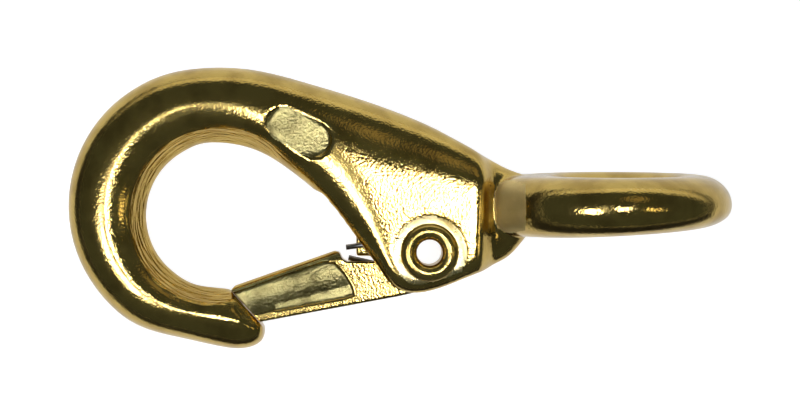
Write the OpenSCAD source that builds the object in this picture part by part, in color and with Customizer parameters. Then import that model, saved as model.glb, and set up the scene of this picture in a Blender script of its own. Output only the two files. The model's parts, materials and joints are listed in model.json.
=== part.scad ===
// Rigid round-eye snap hook: a cast brass hook, a cast gate hinged on a
// tubular rivet, and a torsion spring round the rivet that holds the gate shut.
// The pieces are drawn with the rivet at the origin and the hook in the XY
// plane, then laid down as the hook rests on a table, on its eye and its bend.

/* [Eye] */
// Clear bore through the eye
eye_bore = 16; // [13:0.5:19]
// Width of the eye's bar, from the bore to the rim
eye_bar_w = 7.4; // [6:0.1:9]
// Thickness of the eye along its bore, beside the shank
eye_bar_t = 7.9; // [7:0.1:9]
// How much thinner the eye is at its far end
eye_thinning = 1.2; // [0:0.1:2]
// Distance from the rivet to the eye's centre, along the hook
eye_along = 24; // [23:0.5:27]
// Distance from the rivet to the eye's centre, towards the back
eye_up = 6.1; // [5:0.1:7]
// How far the casting's eye is twisted about the hook's length
eye_twist = 3; // [0:0.5:5]

/* [Bend] */
// Radius of the outside of the bend
bend_r = 18; // [16.5:0.5:20]
// Radius of the throat inside the bend
throat_r = 9.5; // [8.5:0.1:10.5]
// Distance from the rivet back to the bend's centre
bend_along = 29.1; // [28:0.1:32]
// Distance from the rivet up to the bend's centre
bend_up = 6; // [5:0.1:7]
// How far the throat's centre lies towards the gate from the bend's centre
throat_offset = 1.7; // [0:0.1:2.4]
// How far the throat's centre lies below the bend's centre
throat_drop = 1.2; // [0:0.1:1.6]
// Depth of the round bar across the hook
bar_depth = 9; // [8:0.1:10]

/* [Nose] */
// Depth of the nose across the hook
nose_depth = 8; // [7:0.1:9]
// How far the nose reaches past the bend's centre
nose_reach = 7.7; // [7:0.1:9]
// Slope of the seat that the gate closes on
seat_slope = 47; // [42:1:50]
// Where the seat's top edge lies behind the rivet
seat_along = 26.2; // [25:0.1:27]
// Where the seat's top edge lies below the rivet
seat_down = 4.6; // [4:0.1:5]
// Width of the bevel along each side of the seat
seat_bevel = 1.3; // [0.6:0.1:1.8]

/* [Shank] */
// Depth of the flat-faced shank across the hook
shank_depth = 10.8; // [10:0.1:12]
// Width of the rounding along the shank's back
back_r = 9; // [6:0.5:10]
// Width of the rounding along the shank's edge beside the throat
edge_r = 6; // [3:0.5:7]
// Width of the slot between the two cheeks
slot_w = 6.4; // [5.6:0.1:7]
// Depth of the recessed oval pad on the shank's face
pad_depth = 0.45; // [0.2:0.05:0.8]
// Length of the recessed oval pad
pad_length = 8.9; // [6:0.1:10]
// Width of the recessed oval pad
pad_w = 4.8; // [3:0.1:6]

/* [Gate] */
// Thickness of the gate across the hook
gate_w = 6; // [5:0.1:6.2]
// Radius of the gate's knuckle round the rivet
knuckle_r = 4.3; // [4:0.1:4.5]
// Radial clearance of the knuckle in the slot
knuckle_clearance = 0.25; // [0.15:0.05:0.3]
// Depth of the hollow in each side of the gate, at its edge
hollow_depth = 0.3; // [0.1:0.05:0.5]
// How much deeper the hollow is scooped along its middle
hollow_scoop = 0.4; // [0.1:0.05:0.6]
// Gap between the closed gate and its seat on the nose
seat_gap = 0.15; // [0.1:0.05:0.3]
// Radius along the gate's top edges
gate_edge_r = 1.4; // [0.6:0.1:2]

/* [Rivet] */
// Outer diameter of the rivet's shank
rivet_d = 4.8; // [4.4:0.1:5]
// Diameter of the hole through the rivet
rivet_hole = 3.3; // [2.6:0.1:3.6]
// Diameter of the rolled heads
rivet_head_d = 7.5; // [7:0.1:8.4]
// Radial clearance of the rivet in the cheeks and the gate
rivet_clearance = 0.05; // [0.02:0.01:0.1]

/* [Spring] */
// Wire diameter of the spring
wire_d = 0.7; // [0.6:0.05:0.75]
// Whole turns round the rivet between the legs
coil_turns = 2; // [1:1:3]
// Radial clearance between the coil and the rivet
coil_clearance = 0.35; // [0.2:0.05:0.5]

/* [Hidden] */
$fn = 64;
brass = [0.76, 0.60, 0.30];
dark_brass = [0.66, 0.50, 0.24];
steel = [0.62, 0.62, 0.60];
// Every cutting tool is this much longer than what it cuts
over = 20;

// Eye
eye_r = eye_bore / 2 + eye_bar_w;
eye_c = [eye_along, eye_up];
// How far the untrimmed bar would reach into the bore
eye_trim = 0.6;
bar_mid = eye_r - eye_bar_w / 2 - eye_trim / 2;
// Share by which the bar is fuller on its bore side than at its rim
eye_taper = 0.12;
// Squareness of the bar's section: 2 is an ellipse
eye_square = 2.2;
neck_square = 1.6;
eye_step = 9;
bar_step = 20;

// Bend, throat and shank
bend_c = [-bend_along, bend_up];
throat_c = bend_c + [throat_offset, -throat_drop];
bar_h = bar_depth / 2;
nose_h = nose_depth / 2;
shank_h = shank_depth / 2;
// Depth of the rounding below the face, beside the throat and along the back
edge_h = shank_h - slot_w / 2;
back_h = shank_h - 0.4;
// Narrow rounding round the end of the shank
end_r = 2.2;
// The throat's wall is trimmed to two slanted bands that meet at the parting line
trim_low = 0.6;
trim_draft = 0.65;
// Share of the section that is rounded where the bar is fully round
full_round = 0.97;

// Spot face round each end of the rivet
spot_depth = 0.1;
spot_margin = 0.95;
head_seat = shank_h - spot_depth;

// Oval pad, parallel to the face of the shank where it grows out of the bar
pad_p = [-16.8, 15.5];
pad_slope = -28;
pad_face = shank_h - 0.5;
pad_tilt = 2.5;

// Nose seat
seat_p = [-seat_along, -seat_down];
seat_bevel_slope = 48;
seat_length = 13;
seat_start = -3;
seat_height = 8;

// Spring: both legs leave the coil at a tangent and lean towards each other
coil_r = rivet_d / 2 + coil_clearance + wire_d / 2;
coil_pitch = wire_d + 0.06;
leg_slope = 15.2;
body_leg_bend = 7.6;
body_leg_tip = 2.7;
body_leg_tip_slope = 8;
gate_leg_slope = 13;
gate_leg_length = 10.1;
coil_sweep = 360 * coil_turns + 180 + leg_slope + gate_leg_slope;
coil_rise = coil_pitch * coil_sweep / 360;
body_leg_z = coil_rise / 2;
leg_bend = leg_point(leg_slope, body_leg_bend, 0);
leg_tip = leg_bend - body_leg_tip * [cos(body_leg_tip_slope), sin(body_leg_tip_slope)];
gate_leg_tip = leg_point(gate_leg_slope, gate_leg_length, 0);

// Slot between the cheeks. Its roof bears on the spring and stops the open gate.
roof_along = 3;
roof_clearance = 0.03;
roof_slope = 24.5;
roof_reach = 13;
roof_p = leg_point(leg_slope, roof_along, wire_d / 2 + roof_clearance);
slot_r = knuckle_r + knuckle_clearance;
slot_floor = -9;

// Gate
gate_h = gate_w / 2;
gate_top_slope = 19.3;
gate_low_slope = 10.5;
gate_top_length = 13.7;
gate_low_length = 19;
hump_p = [-12.3, 0.2];
fork_end = -10.3;
// The fork's end carries the gate's leg of the spring
leg_seat = 0.02;
root_top = -(coil_r + wire_d / 2 + leg_seat) / cos(gate_leg_slope) - fork_end * tan(gate_leg_slope);
heel_p = [-4.3, -5.75];
fork_w = coil_rise + wire_d + 0.3;
leg_slit_r = norm(leg_tip) + 0.2;
leg_slit_w = wire_d + 0.4;
hollow_top = 1;
hollow_margin = 1.1;
// The scoop's middle line, halfway between the gate's top and its underside
scoop_slope = (gate_top_slope + gate_low_slope) / 2;
scoop_p = [-15, -3.1];
scoop_half_w = 2.3;
scoop_r = (scoop_half_w ^ 2 + hollow_scoop ^ 2) / (2 * hollow_scoop);

// Resting pose: the eye's rim and the bend lie on the table
bend_mid_r = (bend_r + throat_r - throat_offset) / 2;
rest_tilt = asin((eye_r - bar_h) / (eye_along + bend_along + bend_mid_r));
rest_roll = -1.6;
// How much further the hook reaches behind the bend's centre than in front
nose_rise = 0.4;

// Square corner of the far cheek
lug_w = 1.8;
lug_left = -9.6;
lug_right = -6.4;
lug_top = 2.4;
lug_low = -0.6;

// Point along a leg that leaves the top of the coil, moved off to its upper side
function leg_point(slope, along, off) =
    (coil_r + off) * [-sin(slope), cos(slope)] - along * [cos(slope), sin(slope)];

// Loft stations: [outer point, inner point, half depth, roundness, width of the
// rounding along the back, width of the rounding beside the throat], where a
// roundness of 0 is a flat face with rounded edges and 1 is a round bar.
function on_arc(centre, radius, angle) = centre + radius * [cos(angle), sin(angle)];
function round_bar(outer, inner, half_depth) =
    [outer, inner, half_depth, full_round, back_r, edge_r];
function bend_station(angle) =
    round_bar(on_arc(bend_c, bend_r, angle), on_arc(throat_c, throat_r, angle), bar_h);

nose_low = bend_c - [0, bend_r];
throat_low = throat_c - [0, throat_r];
neck = eye_c - [eye_r, 0];

nose_stations = [
    round_bar(nose_low + [nose_reach, 1.5], nose_low + [nose_reach + 0.05, 2.3], 0.5),
    round_bar(nose_low + [nose_reach - 0.3, 0.6], nose_low + [nose_reach - 0.05, 3.9], nose_h - 1.6),
    round_bar(nose_low + [nose_reach - 1.3, -0.2], nose_low + [nose_reach - 0.5, 5.6], nose_h - 0.4),
    round_bar(nose_low + [nose_reach - 3.6, -0.65], throat_low + [3.6, -0.5], nose_h),
    round_bar(nose_low + [0.6, -0.1], throat_low + [0.5, 0], nose_h + 0.2),
    round_bar(nose_low + [-3.6, 0.85], on_arc(throat_c, throat_r, 254), bar_h - 0.15),
];
bend_stations = [for (angle = [240:-18:96]) bend_station(angle)];
shank_stations = [
    [[-23.6, 23.9], [-23.2, 13.5], bar_h + 0.1, 0.9, back_r, edge_r],
    [[-16.4, 22.2], [-18.4, 10.8], bar_h + 0.5, 0.55, back_r - 1, edge_r - 2],
    [[-9.4, 20.1], [-13.4, 6.6], shank_h - 0.1, 0.2, back_r, edge_r],
    [[-4.6, 18.4], [-9.7, 2.0], shank_h, 0, back_r - 0.5, edge_r],
    [[-1.6, 17.2], [-7.0, -1.5], shank_h, 0, back_r - 1.4, edge_r / 2],
    [[1.0, 16.0], [-4.7, -4.5], shank_h, 0, back_r - 2.4, end_r],
    [[3.4, 14.7], [-1.5, -5.3], shank_h, 0, back_r - 3.2, end_r],
    [[5.4, 13.6], [2.3, -4.35], shank_h, 0, back_r - 4, end_r],
    [neck + [-1.9, 6.7], neck + [-2.7, -9.0], shank_h - 0.1, 0.05, back_r / 2, end_r],
    [neck + [-0.8, 6.1], neck + [-1.0, -8.3], shank_h - 1.3, 0.1, back_r / 2, end_r],
    [neck + [-0.1, 5.7], neck + [-0.1, -7.7], shank_h - 2.3, 0.2, back_r / 2, end_r],
    [neck + [1.0, 5.1], neck + [1.6, -6.8], shank_h - 2.7, 0.3, back_r / 2, end_r],
    [neck + [2.6, 4.4], neck + [3.1, -5.3], shank_h - 3, 0.6, back_r / 2, end_r],
    [neck + [4.0, 3.8], neck + [4.2, -3.8], shank_h - 3.6, full_round, back_r / 2, end_r],
    [neck + [4.6, 2.4], neck + [4.6, -2.4], shank_h - 4.6, full_round, back_r / 2, end_r],
];
stations = concat(nose_stations, bend_stations, shank_stations);

// Smooth curve through the stations
steps = 4;
function pick(i) = stations[max(0, min(len(stations) - 1, i))];
function blend(a, b, c, d, t) =
    b + 0.5 * t * ((c - a) + t * ((2 * a - 5 * b + 4 * c - d) + t * (3 * (b - c) + d - a)));
function station_at(i, t) =
    [for (k = [0:5]) blend(pick(i - 1)[k], pick(i)[k], pick(i + 1)[k], pick(i + 2)[k], t)];
loft = concat(
    [for (i = [0:len(stations) - 2], j = [0:steps - 1]) station_at(i, j / steps)],
    [pick(len(stations))]
);

// One section of the loft: a rectangle with elliptical corners between the
// station's outer and inner points, square to the hook's plane.
corner_steps = 5;
function corner(quarter, step, half_w, half_d, roundness, back_w, edge_w) =
    let (
        angle = 90 * quarter + 90 * step / corner_steps,
        on_back = quarter == 0 || quarter == 3,
        side_w = on_back ? 1 : -1,
        side_d = quarter < 2 ? 1 : -1,
        corner_w = min(on_back ? back_w : edge_w, half_w * full_round),
        corner_d = min(on_back ? back_h : edge_h, half_d * full_round),
        r_w = corner_w * (1 - roundness) + half_w * roundness,
        r_d = corner_d * (1 - roundness) + half_d * roundness
    )
    [side_w * (half_w - r_w) + r_w * cos(angle), side_d * (half_d - r_d) + r_d * sin(angle)];
function section(station) =
    let (
        outer = station[0],
        inner = station[1],
        half_d = station[2],
        roundness = max(0, min(full_round, station[3])),
        middle = (outer + inner) / 2,
        half_w = norm(outer - inner) / 2,
        across = (outer - inner) / (2 * half_w)
    )
    [for (quarter = [0:3], step = [0:corner_steps])
        let (p = corner(quarter, step, half_w, half_d, roundness, station[4], station[5]))
        [middle[0] + across[0] * p[0], middle[1] + across[1] * p[0], p[1]]];

// A solid through a row of sections that all have the same number of points. A
// closed row has no ends.
module skin(rings, closed = false) {
    sides = len(rings[0]);
    last = len(rings) - 1;
    points = [for (ring = rings) each ring];
    walls = [for (i = [0:closed ? last : last - 1], j = [0:sides - 1])
        let (
            next = (i + 1) % len(rings) - i,
            a = i * sides + j,
            b = i * sides + (j + 1) % sides
        )
        each [[a, b + next * sides, b], [a, a + next * sides, b + next * sides]]];
    ends = [[for (j = [0:sides - 1]) j], [for (j = [sides - 1:-1:0]) last * sides + j]];
    polyhedron(points, closed ? walls : concat(walls, ends), convexity = 10);
}

// Turns what is drawn about the rivet into the pose in which the hook rests
module at_rest() {
    length_mid = ((eye_along - bend_along - bend_mid_r) * cos(rest_tilt) + eye_r - bend_r + bend_mid_r) / 2;
    width_mid = bend_up - nose_rise;
    rest_height = eye_r - eye_along * sin(rest_tilt) - eye_up * sin(rest_roll);
    translate([-length_mid, -width_mid, rest_height])
        rotate([rest_roll, 0, 0])
        rotate([0, -rest_tilt, 0])
        children();
}

// Places what is drawn about the eye's axis, which stands square to the rivet
// but for the casting's twist
module in_eye() {
    translate([eye_along, eye_up, 0])
        rotate([eye_twist, 0, 0])
        rotate([90, 0, 0])
        children();
}

// One section of the eye's bar, at an angle from its far end. Its underside thins
// towards the far end, and beside the shank its corners are squarer.
function eye_bar(turn) =
    let (
        half_w = eye_r - bar_mid,
        thinning = eye_thinning * (1 + cos(turn)) / 2,
        power = 2 / (eye_square + neck_square * max(0, -cos(turn)) ^ 4)
    )
    [for (a = [0:bar_step:359])
        let (
            half_t = eye_bar_t / 2 - (sin(a) > 0 ? thinning : 0),
            reach = bar_mid - half_w * sign(cos(a)) * abs(cos(a)) ^ power,
            rise = half_t * sign(sin(a)) * abs(sin(a)) ^ power * (1 + eye_taper * cos(a))
        )
        [reach * cos(turn), reach * sin(turn), rise]];

module eye_ring() {
    in_eye() skin([for (turn = [0:eye_step:359]) eye_bar(turn)], closed = true);
}

module eye_hole() {
    in_eye() cylinder(r = eye_bore / 2, h = over, center = true);
}

// Space between the cheeks, open to the throat and below the rivet
module slot() {
    roof_far = roof_p + roof_reach * [-cos(roof_slope), sin(roof_slope)];
    linear_extrude(slot_w, center = true) {
        circle(slot_r);
        polygon([
            [0, 0], [0, slot_r], roof_p, roof_far,
            [roof_far[0], slot_floor], [slot_r, slot_floor], [slot_r, 0],
        ]);
    }
}

// Places what is drawn along the nose's seat, with Y pointing off the seat
module on_seat() {
    translate([seat_p[0], seat_p[1], 0]) rotate([0, 0, -seat_slope]) children();
}

// Cuts the seat across the nose, and the bevel along each side of it
module seat_cut() {
    on_seat() translate([seat_start, 0, -over / 2]) cube([seat_length, seat_height, over]);
    for (side = [-1, 1]) on_seat()
        translate([0, 0, side * (nose_h - seat_bevel)])
        rotate([side * seat_bevel_slope, 0, 0])
        translate([seat_start, 0, -over / 2])
        cube([seat_length, seat_height, over]);
}

// Recessed oval pad on the face of the shank
module pad_cut() {
    translate([pad_p[0], pad_p[1], pad_face - pad_depth])
        rotate([0, 0, pad_slope])
        rotate([0, -pad_tilt, 0])
        linear_extrude(over)
        union() {
            translate([-(pad_length - pad_w) / 2, 0]) circle(pad_w / 2);
            translate([(pad_length - pad_w) / 2, 0]) circle(pad_w / 2);
            square([pad_length - pad_w, pad_w], center = true);
        }
}

// Square corner of the far cheek, which reaches past the near one
module cheek_corner() {
    translate([(lug_left + lug_right) / 2, (lug_top + lug_low) / 2, -(slot_w + lug_w) / 2])
        cube([lug_right - lug_left, lug_top - lug_low, lug_w], center = true);
}

// Trims the throat's wall to a slanted band on each side of the parting line
module trim_cut() {
    trim_h = bar_h + 1 - trim_low;
    for (side = [0, 1]) mirror([0, 0, side])
        translate([throat_c[0], throat_c[1], trim_low])
        cylinder(r1 = throat_r, r2 = throat_r + trim_h * trim_draft, h = trim_h);
}

module rivet_holes() {
    cylinder(r = rivet_d / 2 + rivet_clearance, h = over, center = true);
}

module hook_body() {
    color(brass) at_rest() difference() {
        union() {
            skin([for (s = loft) section(s)]);
            eye_ring();
            cheek_corner();
        }
        eye_hole();
        slot();
        seat_cut();
        trim_cut();
        pad_cut();
        rivet_holes();
        for (side = [-1, 1]) translate([0, 0, side * (head_seat + over / 2)])
            cylinder(r = rivet_head_d / 2 + spot_margin, h = over, center = true);
    }
}

// Side view of the gate
module gate_outline() {
    low_end = heel_p - gate_low_length * [cos(gate_low_slope), sin(gate_low_slope)];
    top_end = hump_p - gate_top_length * [cos(gate_top_slope), sin(gate_top_slope)];
    circle(knuckle_r);
    polygon([
        [0, root_top], [-10.75, root_top], [-11.3, root_top + 0.4], [-11.7, 0.05], hump_p,
        top_end, top_end + [-0.5, -0.6], low_end, heel_p, [-0.5, -4.9], [2.4, -3.6],
    ]);
}

// Rounds the two edges along the top of the gate
module gate_section() {
    flat = gate_h - gate_edge_r;
    translate([hump_p[0], hump_p[1], 0])
        rotate([0, 0, gate_top_slope])
        rotate([0, 90, 0])
        linear_extrude(4 * over, center = true) {
            for (side = [-1, 1]) translate([side * flat, -gate_edge_r]) circle(gate_edge_r);
            translate([-flat, -gate_edge_r]) square([2 * flat, gate_edge_r]);
            translate([-gate_h, -over]) square([gate_w, over - gate_edge_r]);
        }
}

// Hollow in one side of the gate, between its top rim and its lower margin
module gate_hollow(side) {
    top_right = hump_p + [-1.4, -hollow_top - 0.35];
    low_right = heel_p + [-6.9, hollow_margin - 1.35];
    edge = gate_h - hollow_depth;
    intersection() {
        translate([0, 0, side * gate_h])
            linear_extrude(gate_w, center = true)
            polygon([
                top_right - over * [cos(gate_top_slope), sin(gate_top_slope)],
                top_right, top_right + [1.4, -0.2], top_right + [2.7, -1.6],
                top_right + [3.8, -3.4], top_right + [4, -4.4], low_right,
                low_right - over * [cos(gate_low_slope), sin(gate_low_slope)],
            ]);
        union() {
            translate([-over, -over, side > 0 ? edge : -edge - over]) cube([over, 2 * over, over]);
            translate([scoop_p[0], scoop_p[1], side * (edge + scoop_r - hollow_scoop)])
                rotate([0, 0, scoop_slope])
                rotate([0, 90, 0])
                cylinder(r = scoop_r, h = 2 * over, center = true);
        }
    }
}

module gate() {
    color(dark_brass) at_rest() difference() {
        intersection() {
            linear_extrude(gate_w, center = true) gate_outline();
            gate_section();
            on_seat() translate([-over, seat_gap, -over / 2]) cube([3 * over, 3 * over, over]);
        }
        rivet_holes();
        translate([fork_end, -over / 2, -fork_w / 2]) cube([over, over, fork_w]);
        translate([0, 0, body_leg_z]) intersection() {
            cylinder(r = leg_slit_r, h = leg_slit_w, center = true);
            translate([-over, -over / 2, -over / 2]) cube([over, over, over]);
        }
        for (side = [-1, 1]) gate_hollow(side);
    }
}

// Tube with rolled heads, drawn as half its section and turned
module rivet() {
    head_w = (rivet_head_d - rivet_hole) / 2;
    color(brass) at_rest() rotate_extrude() {
        translate([rivet_hole / 2, -head_seat]) square([(rivet_d - rivet_hole) / 2, 2 * head_seat]);
        for (side = [0, 1]) mirror([0, side]) intersection() {
            translate([rivet_hole / 2 + head_w / 2, head_seat]) circle(head_w / 2);
            translate([0, head_seat]) square([over, over]);
        }
    }
}

// Route of the spring's wire: hook's leg, coil, gate's leg
wire_sides = 8;
coil_step = 20;
function coil_point(turned) =
    let (angle = 90 + leg_slope - turned)
    [coil_r * cos(angle), coil_r * sin(angle), body_leg_z - coil_rise * turned / coil_sweep];
wire_route = concat(
    [[each leg_tip, body_leg_z], [each leg_bend, body_leg_z]],
    [for (turned = [0:coil_step:coil_sweep - coil_step / 2]) coil_point(turned)],
    [coil_point(coil_sweep)],
    [[gate_leg_tip[0], -gate_leg_tip[1], -body_leg_z]]
);
function unit(v) = v / norm(v);
function wire_ring(i) =
    let (
        last = len(wire_route) - 1,
        along = unit(wire_route[min(last, i + 1)] - wire_route[max(0, i - 1)]),
        side = unit(cross(along, [0, 0, 1])),
        up = cross(along, side)
    )
    [for (j = [0:wire_sides - 1])
        wire_route[i] + wire_d / 2 * (side * cos(360 * j / wire_sides) + up * sin(360 * j / wire_sides))];

module spring() {
    color(steel) at_rest() skin([for (i = [0:len(wire_route) - 1]) wire_ring(i)]);
}

hook_body();
gate();
rivet();
spring();
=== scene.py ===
"""Looks of a round-eye snap hook: the cast hook, its gate, the tubular rivet and
the torsion spring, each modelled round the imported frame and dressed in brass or
steel.

The pieces are modelled in millimetres with the rivet at the origin and the hook
in the XY plane, and are then laid down in the pose in which the hook rests.
"""

import json
import logging
import math
from collections.abc import Callable
from dataclasses import dataclass, field
from enum import Enum

import bmesh
import bpy
from mathutils import Matrix, Vector


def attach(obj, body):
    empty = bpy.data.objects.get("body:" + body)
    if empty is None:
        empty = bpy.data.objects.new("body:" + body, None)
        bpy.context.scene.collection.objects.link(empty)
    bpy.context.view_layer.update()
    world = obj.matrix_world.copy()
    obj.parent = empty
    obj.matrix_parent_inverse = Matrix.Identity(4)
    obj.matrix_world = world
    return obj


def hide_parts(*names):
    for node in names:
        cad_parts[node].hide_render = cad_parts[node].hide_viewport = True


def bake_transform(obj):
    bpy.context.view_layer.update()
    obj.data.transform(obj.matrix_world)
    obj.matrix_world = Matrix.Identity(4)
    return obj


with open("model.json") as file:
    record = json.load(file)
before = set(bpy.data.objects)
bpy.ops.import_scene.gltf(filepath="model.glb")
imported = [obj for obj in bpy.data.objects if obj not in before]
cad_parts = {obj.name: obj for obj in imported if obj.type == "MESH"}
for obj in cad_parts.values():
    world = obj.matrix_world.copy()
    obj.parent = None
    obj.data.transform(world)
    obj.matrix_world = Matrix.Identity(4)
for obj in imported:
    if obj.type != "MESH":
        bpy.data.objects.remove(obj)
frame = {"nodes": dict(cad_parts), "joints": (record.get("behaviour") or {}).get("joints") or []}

log = logging.getLogger("snap_hook")

MM = 0.001
ROD_SIDES = 96
CAGE_PASSES = 3
CARD_ROUGHNESS = 0.9

Point = tuple[float, float]
Span = tuple[float, float]
Colour = tuple[float, float, float]
Socket = bpy.types.NodeSocket


class Body(Enum):
    """The two bodies that the gate's hinge joins."""

    HOOK = "hook"
    GATE = "gate"


class Slot(Enum):
    """The record's material slots."""

    CASTING = "polished_brass"
    GATE = "cast_brass"
    RIVET = "rivet_brass"
    WIRE = "spring_steel"


def polar(centre: Point, radius: float, degrees: float) -> Point:
    """Return the point at an angle on a circle."""
    angle = math.radians(degrees)
    return (centre[0] + radius * math.cos(angle), centre[1] + radius * math.sin(angle))


def rest_pose() -> Matrix:
    """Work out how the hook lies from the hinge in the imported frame.

    Returns:
        The matrix that takes millimetres about the rivet to metres at rest.
    """
    hinge = frame["joints"][0]
    up = -Vector(hinge["axis"]).normalized()
    tilt = math.asin(-up.x)
    roll = math.atan2(-up.y, up.z)
    turn = Matrix.Rotation(roll, 4, "X") @ Matrix.Rotation(-tilt, 4, "Y")
    return Matrix.Translation(hinge["pos_m"]) @ turn @ Matrix.Scale(MM, 4)


# ---------------------------------------------------------------- workbench


def select_only(obj: bpy.types.Object) -> bpy.types.Object:
    """Select one object alone and make it active.

    Args:
        obj: The object to select.

    Returns:
        The same object.
    """
    bpy.ops.object.select_all(action="DESELECT")
    obj.select_set(True)
    bpy.context.view_layer.objects.active = obj
    return obj


def edit_all(*steps: str) -> None:
    """Run edit-mode mesh operators on the whole of the active mesh.

    Args:
        steps: Names of operators in bpy.ops.mesh that need no settings.
    """
    bpy.ops.object.mode_set(mode="EDIT")
    bpy.ops.mesh.select_all(action="SELECT")
    for step in steps:
        getattr(bpy.ops.mesh, step)()
    bpy.ops.object.mode_set(mode="OBJECT")


def apply_modifier(obj: bpy.types.Object, kind: str, **settings: object) -> None:
    """Add a modifier to an object and apply it.

    Args:
        obj: The object to change.
        kind: The modifier's type, such as "SUBSURF".
        settings: The modifier's own settings.
    """
    select_only(obj)
    modifier = obj.modifiers.new(kind.lower(), kind)
    for name, value in settings.items():
        setattr(modifier, name, value)
    bpy.ops.object.modifier_apply(modifier=modifier.name)


def subdivide(obj: bpy.types.Object, levels: int) -> None:
    """Apply a subdivision surface to an object."""
    apply_modifier(obj, "SUBSURF", levels=levels, render_levels=levels)


def cut(obj: bpy.types.Object, tool: bpy.types.Object) -> None:
    """Cut a closed tool out of a closed object, and remove the tool.

    Args:
        obj: The object to change.
        tool: The shape to take away.
    """
    apply_modifier(obj, "BOOLEAN", operation="DIFFERENCE", solver="EXACT", object=tool)
    bpy.data.objects.remove(tool)


def join(first: bpy.types.Object, *others: bpy.types.Object) -> bpy.types.Object:
    """Join objects into one.

    Args:
        first: The object that takes in the others.
        others: The objects that it takes in.

    Returns:
        The first object, with all their meshes.
    """
    select_only(first)
    for other in others:
        other.select_set(True)
    bpy.ops.object.join()
    return first


def fuse(obj: bpy.types.Object, voxel: float, passes: int) -> None:
    """Melt an object's overlapping shells into one skin with softened edges.

    Args:
        obj: The object to change.
        voxel: Size of the new skin's faces, in the object's units.
        passes: How often the skin is smoothed.
    """
    apply_modifier(obj, "REMESH", mode="VOXEL", voxel_size=voxel)
    apply_modifier(obj, "SMOOTH", factor=0.5, iterations=passes)


def prism(outline: list[Point], low: float, high: float) -> bpy.types.Object:
    """Make an upright prism.

    Args:
        outline: Corners of its section, in order.
        low: Height of its underside.
        high: Height of its top.

    Returns:
        The prism, as a closed mesh.
    """
    bpy.ops.object.select_all(action="DESELECT")
    bpy.ops.mesh.primitive_circle_add(vertices=len(outline), fill_type="NGON")
    obj = bpy.context.object
    for vert, (x, y) in zip(obj.data.vertices, outline):
        vert.co = (x, y, low)
    bpy.ops.object.mode_set(mode="EDIT")
    bpy.ops.mesh.select_all(action="SELECT")
    bpy.ops.mesh.extrude_region_move(TRANSFORM_OT_translate={"value": (0, 0, high - low)})
    bpy.ops.mesh.select_all(action="SELECT")
    bpy.ops.mesh.normals_make_consistent()
    bpy.ops.object.mode_set(mode="OBJECT")
    return obj


def rod(radius: float, low: float, high: float) -> bpy.types.Object:
    """Make an upright round rod about the origin.

    Args:
        radius: Its radius.
        low: Height of its underside.
        high: Height of its top.

    Returns:
        The rod, as a closed mesh.
    """
    bpy.ops.object.select_all(action="DESELECT")
    bpy.ops.mesh.primitive_cylinder_add(
        vertices=ROD_SIDES, radius=radius, depth=high - low, location=(0, 0, (low + high) / 2)
    )
    return bake_place(bpy.context.object)


def bake_place(obj: bpy.types.Object) -> bpy.types.Object:
    """Move an object's place into its mesh.

    Args:
        obj: The object to bring to the origin.

    Returns:
        The same object.
    """
    select_only(obj)
    bpy.ops.object.transform_apply(location=True, rotation=True, scale=True)
    return obj


def placed(obj: bpy.types.Object, matrix: Matrix) -> bpy.types.Object:
    """Put an object through a matrix, bake it into the mesh and return it."""
    obj.matrix_world = matrix @ obj.matrix_world
    return bake_place(obj)


def node_copy(node: str) -> bpy.types.Object:
    """Copy a node of the frame into millimetres about the rivet.

    Args:
        node: The node's name.

    Returns:
        A merged copy that rides on nothing yet.
    """
    source = frame["nodes"][node]
    obj = bpy.data.objects.new(node + "_blank", source.data.copy())
    bpy.context.scene.collection.objects.link(obj)
    obj.data.materials.clear()
    placed(obj, rest_pose().inverted())
    edit_all("remove_doubles", "normals_make_consistent")
    return obj


# ------------------------------------------------------------------ finishes


class NodeTree:
    """A tree of shader nodes, built up node by node."""

    def __init__(self, tree: bpy.types.NodeTree) -> None:
        """Take up a tree."""
        self.tree = tree

    def fill(self, node: bpy.types.Node, **inputs: object) -> bpy.types.Node:
        """Fill in a node's inputs.

        Args:
            node: The node.
            inputs: Values or sockets by input name, with "_" for a space.

        Returns:
            The same node.
        """
        for name, value in inputs.items():
            socket = node.inputs[name.replace("_", " ")]
            if isinstance(value, Socket):
                self.tree.links.new(value, socket)
            else:
                socket.default_value = value
        return node

    def add(self, kind: str, **inputs: object) -> bpy.types.Node:
        """Add a node, its type given without "ShaderNode", and fill in its inputs."""
        return self.fill(self.tree.nodes.new("ShaderNode" + kind), **inputs)

    def ramp(self, value: Socket, low: float, high: float, start: float, end: float) -> Socket:
        """Map one range of a value onto another.

        Args:
            value: The value to map.
            low: Where its range begins.
            high: Where its range ends.
            start: What the range's beginning becomes.
            end: What the range's end becomes.

        Returns:
            The mapped value, held between start and end.
        """
        node = self.add("MapRange", Value=value)
        for socket, number in zip(node.inputs[1:5], (low, high, start, end)):
            socket.default_value = number
        return node.outputs[0]

    def plus(self, first: Socket, second: Socket) -> Socket:
        """Add two values.

        Args:
            first: One value.
            second: The other.

        Returns:
            Their sum.
        """
        node = self.add("Math", Value=first)
        self.tree.links.new(second, node.inputs[1])
        return node.outputs[0]

    def mix(self, share: Socket, *colours: Colour | Socket) -> Socket:
        """Blend two colours.

        Args:
            share: How much of the second colour is taken.
            colours: The two colours, each as a tuple or a socket.

        Returns:
            The blended colour.
        """
        node = self.add("Mix")
        node.data_type = "RGBA"
        self.tree.links.new(share, node.inputs[0])
        for socket, colour in zip((node.inputs[6], node.inputs[7]), colours):
            if isinstance(colour, tuple):
                socket.default_value = (*colour, 1)
            else:
                self.tree.links.new(colour, socket)
        return node.outputs[2]


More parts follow.
